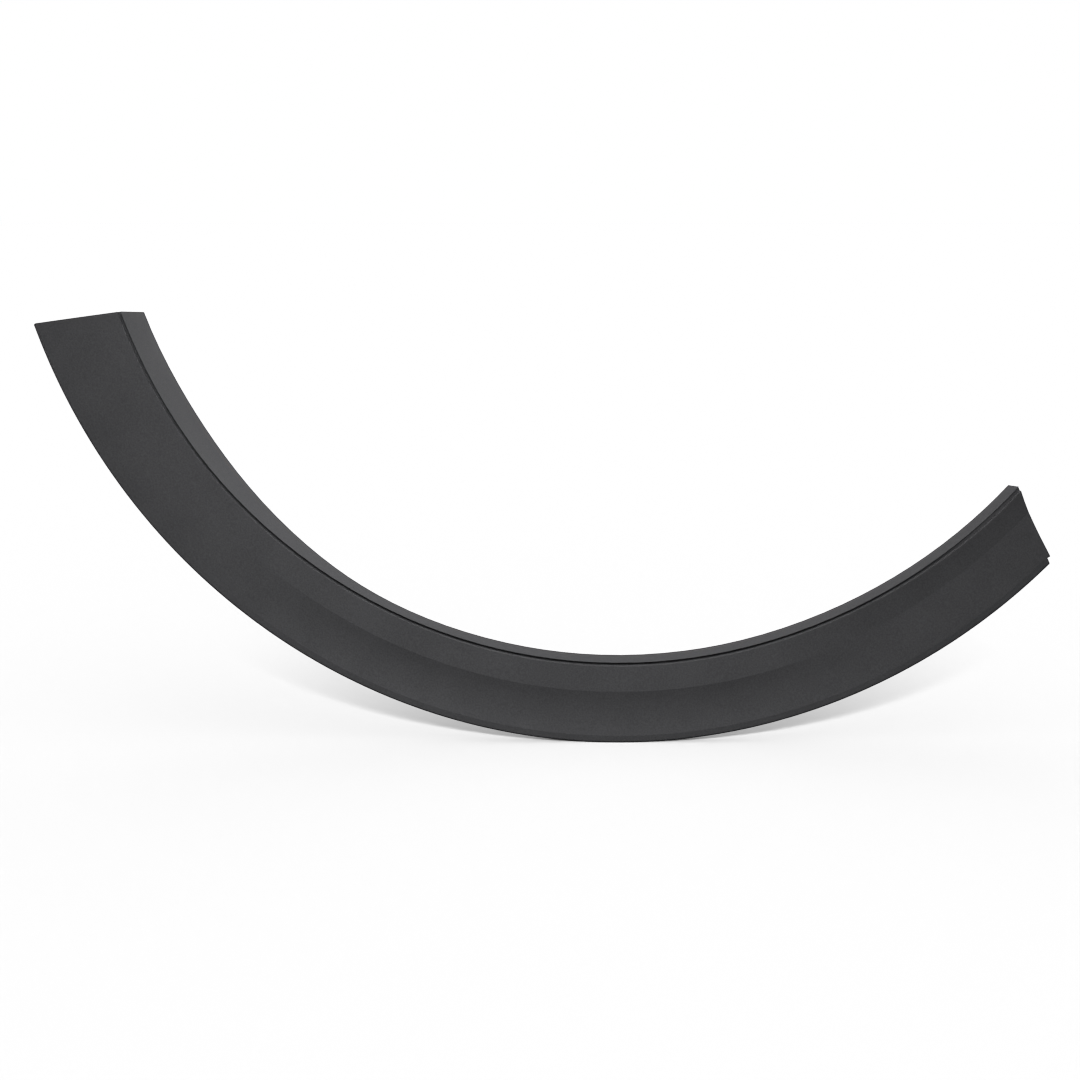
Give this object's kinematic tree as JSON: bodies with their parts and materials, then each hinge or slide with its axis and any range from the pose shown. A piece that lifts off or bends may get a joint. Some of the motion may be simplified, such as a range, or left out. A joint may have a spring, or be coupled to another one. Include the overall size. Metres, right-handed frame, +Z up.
{
  "type": "wheel arch trim",
  "caption": "Bowed arch trim in dark grey grained plastic: creased face, lip turned into the wheel opening, clip towers on the back.",
  "frame": {"origin": "seat of the crown clip tower, on the clip's axis", "axes": "+X along the chord of the arch, to the right seen from the face; +Y from the face into the car body; +Z up with the crown down, as pictured"},
  "size_m": [0.7526, 0.0684, 0.3227],
  "materials": {
    "trim": "fine moulded grain, matte"
  },
  "bodies": {
    "root": {"arch_trim": "trim"}
  },
  "joints": []
}
